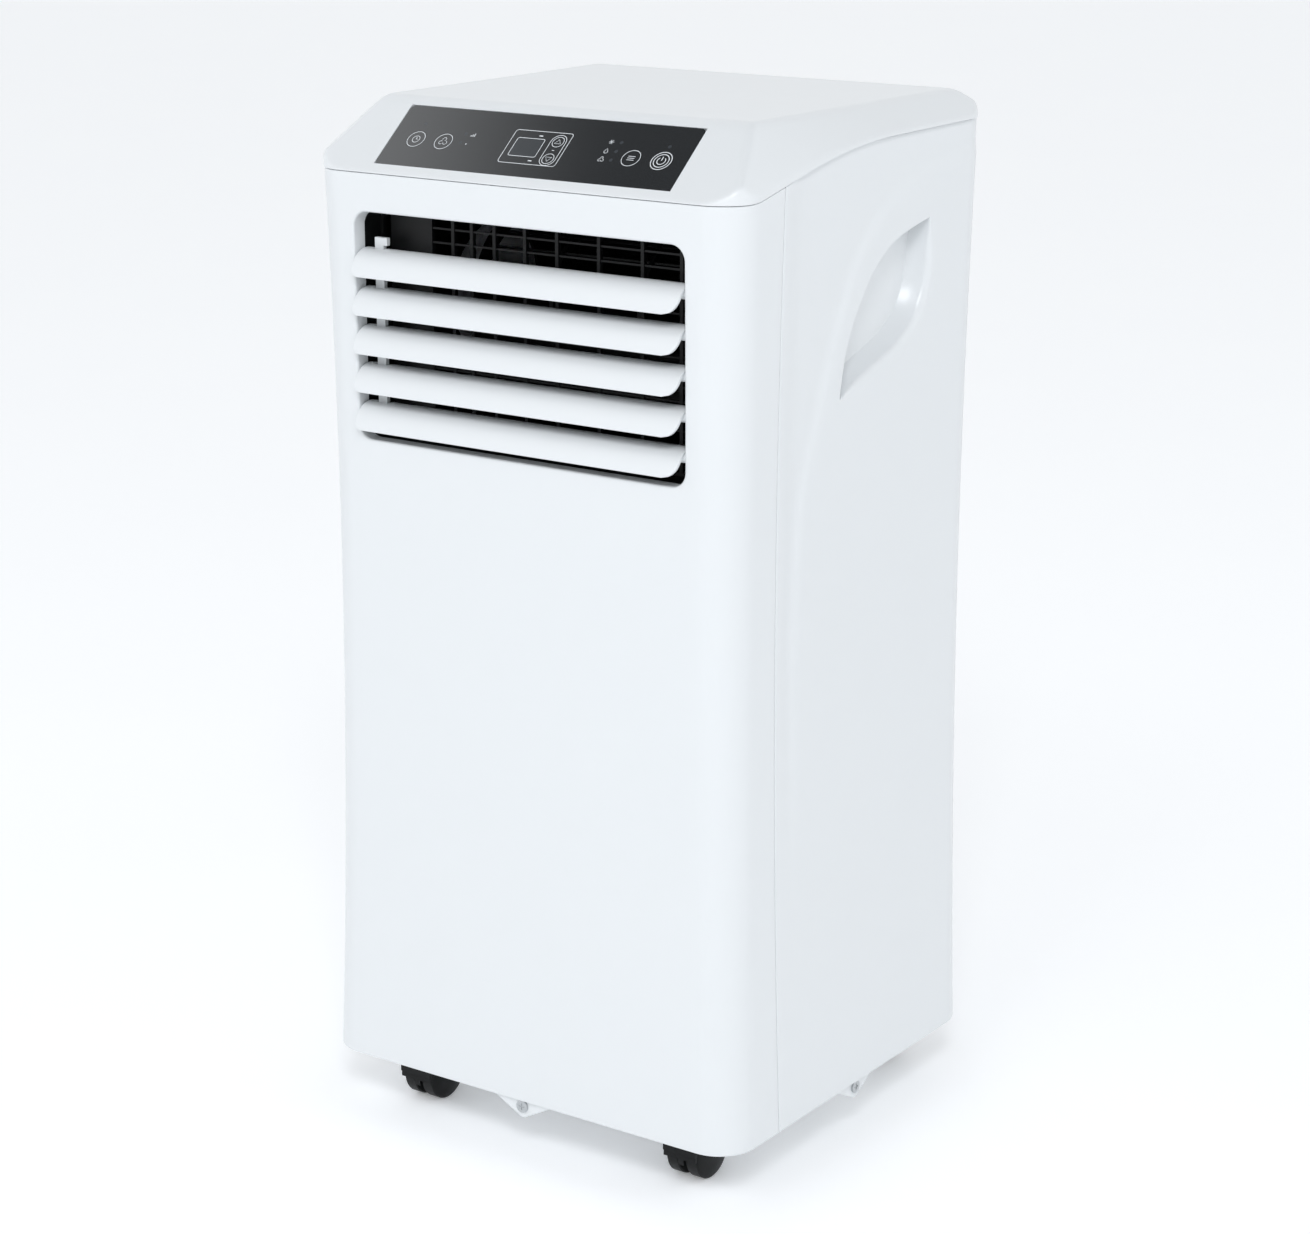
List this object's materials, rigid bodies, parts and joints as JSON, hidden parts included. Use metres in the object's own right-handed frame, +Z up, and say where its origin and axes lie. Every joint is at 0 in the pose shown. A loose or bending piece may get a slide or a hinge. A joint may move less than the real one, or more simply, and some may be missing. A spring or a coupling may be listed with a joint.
{
  "type": "portable air conditioner",
  "caption": "Upright room air conditioner on casters, with a louvred air outlet, control strip, hand grips, rear filters and an exhaust hose collar.",
  "frame": {"origin": "on the floor under the middle of the object", "axes": "+Z up, front faces -Y, +X to the right of a person who faces the front"},
  "size_m": [0.336, 0.316, 0.691],
  "materials": {
    "white_abs": "fine-textured white ABS, moulded",
    "fascia_black": "glossy back-printed polycarbonate strip",
    "window_clear": "smoked clear window",
    "light_pipe": "unlit smoked light pipe",
    "black_abs": "black ABS, moulded",
    "caster_nylon": "dark grey nylon, moulded",
    "wheel_nylon": "black nylon wheel",
    "zinc_steel": "zinc-plated steel",
    "filter_white": "white ABS grille",
    "filter_net": "woven nylon net",
    "compressor_black": "black stoved paint",
    "copper": "drawn copper tube",
    "coil_fins": "thin fins on copper tube",
    "rubber_black": "black rubber",
    "board_green": "glass-fibre board",
    "motor_steel": "pressed steel"
  },
  "bodies": {
    "housing": {"top_cover": "white_abs", "front_panel": "white_abs", "rear_casing": "white_abs", "base_pan": "white_abs", "control_fascia": "fascia_black", "display_window": "window_clear", "indicator_lights": "light_pipe", "control_board": "board_green", "vent_frame": "black_abs", "outlet_guard": "black_abs", "exhaust_collar": "white_abs", "cord_gland": "black_abs", "casing_screws": "zinc_steel", "mid_deck": "black_abs", "cool_fan_housing": "black_abs", "cool_fan_motor": "motor_steel", "hot_fan_housing": "black_abs", "hot_fan_motor": "motor_steel", "condenser_coil": "coil_fins", "evaporator_coil": "coil_fins", "compressor": "compressor_black", "compressor_feet": "rubber_black", "refrigerant_pipes": "copper", "control_box": "motor_steel"},
    "upper_filter": {"upper_filter_frame": "filter_white", "upper_filter_mesh": "filter_net"},
    "lower_filter": {"lower_filter_frame": "filter_white", "lower_filter_mesh": "filter_net"},
    "key_timer": {"button_timer": "fascia_black"},
    "key_speed": {"button_speed": "fascia_black"},
    "key_up": {"button_up": "fascia_black"},
    "key_down": {"button_down": "fascia_black"},
    "key_mode": {"button_mode": "fascia_black"},
    "key_power": {"button_power": "fascia_black"},
    "blade_1": {"louvre_blade_1": "white_abs"},
    "blade_2": {"louvre_blade_2": "white_abs"},
    "blade_3": {"louvre_blade_3": "white_abs"},
    "blade_4": {"louvre_blade_4": "white_abs"},
    "blade_5": {"louvre_blade_5": "white_abs"},
    "link": {"louvre_link": "white_abs"},
    "cool_fan": {"cool_fan_wheel": "black_abs"},
    "hot_fan": {"hot_fan_wheel": "black_abs"},
    "drain_stopper": {"drain_cap": "white_abs", "drain_plug": "rubber_black"},
    "caster_front_left": {"caster_front_left_hood": "caster_nylon", "caster_front_left_axle": "zinc_steel"},
    "front_left_wheel_left": {"caster_front_left_wheel_left": "wheel_nylon"},
    "front_left_wheel_right": {"caster_front_left_wheel_right": "wheel_nylon"},
    "caster_front_right": {"caster_front_right_hood": "caster_nylon", "caster_front_right_axle": "zinc_steel"},
    "front_right_wheel_left": {"caster_front_right_wheel_left": "wheel_nylon"},
    "front_right_wheel_right": {"caster_front_right_wheel_right": "wheel_nylon"},
    "caster_rear_left": {"caster_rear_left_hood": "caster_nylon", "caster_rear_left_axle": "zinc_steel"},
    "rear_left_wheel_left": {"caster_rear_left_wheel_left": "wheel_nylon"},
    "rear_left_wheel_right": {"caster_rear_left_wheel_right": "wheel_nylon"},
    "caster_rear_right": {"caster_rear_right_hood": "caster_nylon", "caster_rear_right_axle": "zinc_steel"},
    "rear_right_wheel_left": {"caster_rear_right_wheel_left": "wheel_nylon"},
    "rear_right_wheel_right": {"caster_rear_right_wheel_right": "wheel_nylon"}
  },
  "joints": [
    {"name": "upper_filter_slide", "type": "slide", "parent": "housing", "child": "upper_filter", "axis": [0, 1, 0], "range_m": [0, 0.04]},
    {"name": "lower_filter_slide", "type": "slide", "parent": "housing", "child": "lower_filter", "axis": [0, 1, 0], "range_m": [0, 0.04]},
    {"name": "timer_press", "type": "slide", "parent": "housing", "child": "key_timer", "axis": [0, 0.6401, -0.7683], "range_m": [0, 0.0005], "stiffness_N_per_m": 600},
    {"name": "speed_press", "type": "slide", "parent": "housing", "child": "key_speed", "axis": [0, 0.6401, -0.7683], "range_m": [0, 0.0005], "stiffness_N_per_m": 600},
    {"name": "up_press", "type": "slide", "parent": "housing", "child": "key_up", "axis": [0, 0.6401, -0.7683], "range_m": [0, 0.0005], "stiffness_N_per_m": 600},
    {"name": "down_press", "type": "slide", "parent": "housing", "child": "key_down", "axis": [0, 0.6401, -0.7683], "range_m": [0, 0.0005], "stiffness_N_per_m": 600},
    {"name": "mode_press", "type": "slide", "parent": "housing", "child": "key_mode", "axis": [0, 0.6401, -0.7683], "range_m": [0, 0.0005], "stiffness_N_per_m": 600},
    {"name": "power_press", "type": "slide", "parent": "housing", "child": "key_power", "axis": [0, 0.6401, -0.7683], "range_m": [0, 0.0005], "stiffness_N_per_m": 600},
    {"name": "louvre_1_tilt", "type": "hinge", "parent": "housing", "child": "blade_1", "pos_m": [0, -0.1465, 0.5922], "axis": [1, 0, 0], "range_deg": [-20, 30]},
    {"name": "louvre_2_tilt", "type": "hinge", "parent": "housing", "child": "blade_2", "pos_m": [0, -0.1465, 0.5672], "axis": [1, 0, 0], "range_deg": [-20, 30]},
    {"name": "louvre_3_tilt", "type": "hinge", "parent": "housing", "child": "blade_3", "pos_m": [0, -0.1465, 0.5422], "axis": [1, 0, 0], "range_deg": [-20, 30]},
    {"name": "louvre_4_tilt", "type": "hinge", "parent": "housing", "child": "blade_4", "pos_m": [0, -0.1465, 0.5172], "axis": [1, 0, 0], "range_deg": [-20, 30]},
    {"name": "louvre_5_tilt", "type": "hinge", "parent": "housing", "child": "blade_5", "pos_m": [0, -0.1465, 0.4922], "axis": [1, 0, 0], "range_deg": [-20, 30]},
    {"name": "louvre_link_pivot", "type": "hinge", "parent": "blade_1", "child": "link", "pos_m": [0, -0.138, 0.5922], "axis": [1, 0, 0], "range_deg": [-30, 20]},
    {"name": "cool_fan_spin", "type": "hinge", "parent": "housing", "child": "cool_fan", "pos_m": [0, -0.01, 0.552], "axis": [1, 0, 0], "continuous": true},
    {"name": "hot_fan_spin", "type": "hinge", "parent": "housing", "child": "hot_fan", "pos_m": [0, 0.072, 0.352], "axis": [0, 1, 0], "continuous": true},
    {"name": "drain_pull", "type": "slide", "parent": "housing", "child": "drain_stopper", "axis": [0, 1, 0], "range_m": [0, 0.02]},
    {"name": "front_left_swivel", "type": "hinge", "parent": "housing", "child": "caster_front_left", "pos_m": [-0.1105, -0.119, 0.042], "axis": [0, 0, 1], "continuous": true},
    {"name": "front_left_left_roll", "type": "hinge", "parent": "caster_front_left", "child": "front_left_wheel_left", "pos_m": [-0.1105, -0.109, 0.0185], "axis": [1, 0, 0], "continuous": true},
    {"name": "front_left_right_roll", "type": "hinge", "parent": "caster_front_left", "child": "front_left_wheel_right", "pos_m": [-0.1105, -0.109, 0.0185], "axis": [1, 0, 0], "continuous": true},
    {"name": "front_right_swivel", "type": "hinge", "parent": "housing", "child": "caster_front_right", "pos_m": [0.1105, -0.119, 0.042], "axis": [0, 0, 1], "continuous": true},
    {"name": "front_right_left_roll", "type": "hinge", "parent": "caster_front_right", "child": "front_right_wheel_left", "pos_m": [0.1105, -0.109, 0.0185], "axis": [1, 0, 0], "continuous": true},
    {"name": "front_right_right_roll", "type": "hinge", "parent": "caster_front_right", "child": "front_right_wheel_right", "pos_m": [0.1105, -0.109, 0.0185], "axis": [1, 0, 0], "continuous": true},
    {"name": "rear_left_swivel", "type": "hinge", "parent": "housing", "child": "caster_rear_left", "pos_m": [-0.1105, 0.112, 0.042], "axis": [0, 0, 1], "continuous": true},
    {"name": "rear_left_left_roll", "type": "hinge", "parent": "caster_rear_left", "child": "rear_left_wheel_left", "pos_m": [-0.1105, 0.122, 0.0185], "axis": [1, 0, 0], "continuous": true},
    {"name": "rear_left_right_roll", "type": "hinge", "parent": "caster_rear_left", "child": "rear_left_wheel_right", "pos_m": [-0.1105, 0.122, 0.0185], "axis": [1, 0, 0], "continuous": true},
    {"name": "rear_right_swivel", "type": "hinge", "parent": "housing", "child": "caster_rear_right", "pos_m": [0.1105, 0.112, 0.042], "axis": [0, 0, 1], "continuous": true},
    {"name": "rear_right_left_roll", "type": "hinge", "parent": "caster_rear_right", "child": "rear_right_wheel_left", "pos_m": [0.1105, 0.122, 0.0185], "axis": [1, 0, 0], "continuous": true},
    {"name": "rear_right_right_roll", "type": "hinge", "parent": "caster_rear_right", "child": "rear_right_wheel_right", "pos_m": [0.1105, 0.122, 0.0185], "axis": [1, 0, 0], "continuous": true}
  ],
  "couplings": [
    {"joint": "louvre_2_tilt", "follows": "louvre_1_tilt", "ratio": 1},
    {"joint": "louvre_3_tilt", "follows": "louvre_1_tilt", "ratio": 1},
    {"joint": "louvre_4_tilt", "follows": "louvre_1_tilt", "ratio": 1},
    {"joint": "louvre_5_tilt", "follows": "louvre_1_tilt", "ratio": 1},
    {"joint": "louvre_link_pivot", "follows": "louvre_1_tilt", "ratio": -1}
  ]
}
